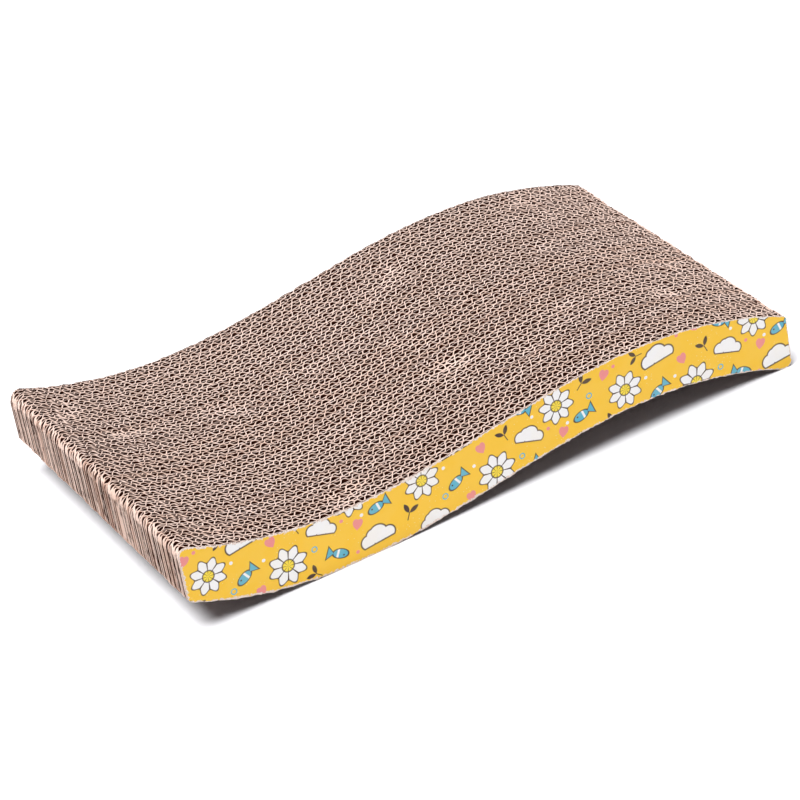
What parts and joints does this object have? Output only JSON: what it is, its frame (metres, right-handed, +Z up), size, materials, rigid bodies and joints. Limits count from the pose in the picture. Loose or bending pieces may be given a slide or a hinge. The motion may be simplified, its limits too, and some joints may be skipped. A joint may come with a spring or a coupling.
{
  "type": "cat scratcher lounge",
  "caption": "Low wave-shaped cat scratcher lounge of upright corrugated board strips glued side by side between two printed paper covers, with open flutes on top to scratch and lie on.",
  "frame": {"origin": "on the floor, under the middle of the box round the lounge", "axes": "+X along the lounge from its raised end to its low end, +Y from the front cover to the back cover, +Z up"},
  "size_m": [0.44, 0.2496, 0.0616],
  "materials": {
    "board": "raw kraft corrugated board",
    "printed_paper": "satin coated print on white paper",
    "glue": "dried white glue"
  },
  "bodies": {
    "root": {"strip_01": "board", "strip_02": "board", "strip_03": "board", "strip_04": "board", "strip_05": "board", "strip_06": "board", "strip_07": "board", "strip_08": "board", "strip_09": "board", "strip_10": "board", "strip_11": "board", "strip_12": "board", "strip_13": "board", "strip_14": "board", "strip_15": "board", "strip_16": "board", "strip_17": "board", "strip_18": "board", "strip_19": "board", "strip_20": "board", "strip_21": "board", "strip_22": "board", "strip_23": "board", "strip_24": "board", "strip_25": "board", "strip_26": "board", "strip_27": "board", "strip_28": "board", "strip_29": "board", "strip_30": "board", "strip_31": "board", "strip_32": "board", "strip_33": "board", "strip_34": "board", "strip_35": "board", "strip_36": "board", "strip_37": "board", "front_cover": "printed_paper", "back_cover": "printed_paper", "glue_beads": "glue"}
  },
  "joints": []
}
